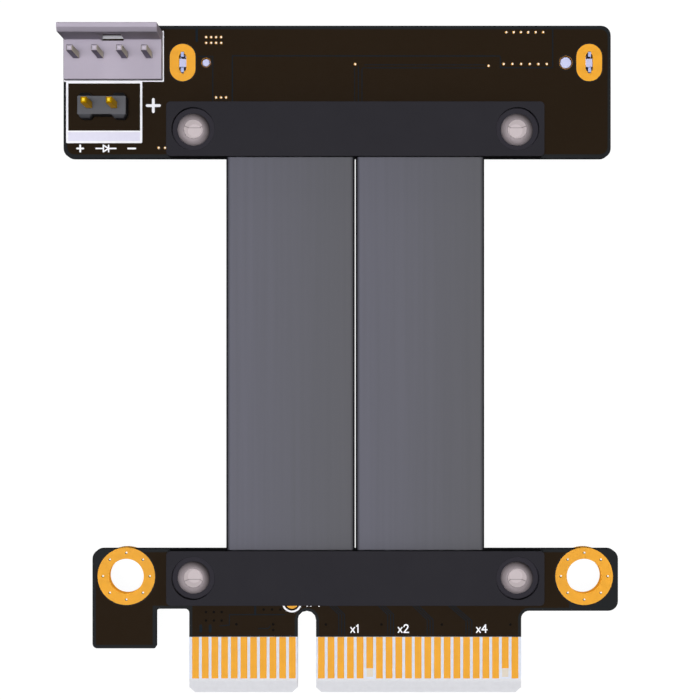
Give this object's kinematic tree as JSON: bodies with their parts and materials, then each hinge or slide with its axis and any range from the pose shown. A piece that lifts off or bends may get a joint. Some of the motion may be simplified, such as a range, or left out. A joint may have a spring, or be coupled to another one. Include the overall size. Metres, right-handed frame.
{
  "type": "nvme to pcie adapter cable",
  "caption": "Adapter cable: a card-edge board and a drive-receptacle board joined by flat grey ribbons under black clamp bars, with a power header and a light header.",
  "frame": {"origin": "midway between the two mounting holes of the card board, on the component face", "axes": "+X across the boards, +Y from the card edge toward the drive board, +Z out of the component face"},
  "size_m": [0.0572, 0.069, 0.0172],
  "materials": {
    "board": "satin solder mask",
    "gold_plate": "bright gold plate",
    "bar_plastic": "matte moulded",
    "rivet_steel": "satin",
    "tin_plate": "satin tin",
    "ribbon_jacket": "satin jacket",
    "receptacle_plastic": "matte moulded",
    "power_plastic": "matte moulded",
    "light_plastic": "matte moulded"
  },
  "bodies": {
    "root": {"card_board": "board", "card_board_plating": "gold_plate", "card_fingers_front": "gold_plate", "card_fingers_rear": "gold_plate", "card_clamp_front": "bar_plastic", "card_clamp_rear": "bar_plastic", "card_clamp_rivets": "rivet_steel", "card_wire_ends": "tin_plate", "ribbon_left": "ribbon_jacket", "ribbon_right": "ribbon_jacket", "drive_board": "board", "drive_board_plating": "gold_plate", "drive_clamp_front": "bar_plastic", "drive_clamp_rear": "bar_plastic", "drive_clamp_rivets": "rivet_steel", "drive_wire_ends": "tin_plate", "receptacle_housing": "receptacle_plastic", "receptacle_signal_contacts": "gold_plate", "receptacle_power_contacts": "gold_plate", "receptacle_lane_contacts": "gold_plate", "receptacle_board_locks": "tin_plate", "power_header_housing": "power_plastic", "power_header_pins": "tin_plate", "light_header_body": "light_plastic", "light_header_pins": "gold_plate", "pin_solder_joints": "tin_plate"}
  },
  "joints": []
}
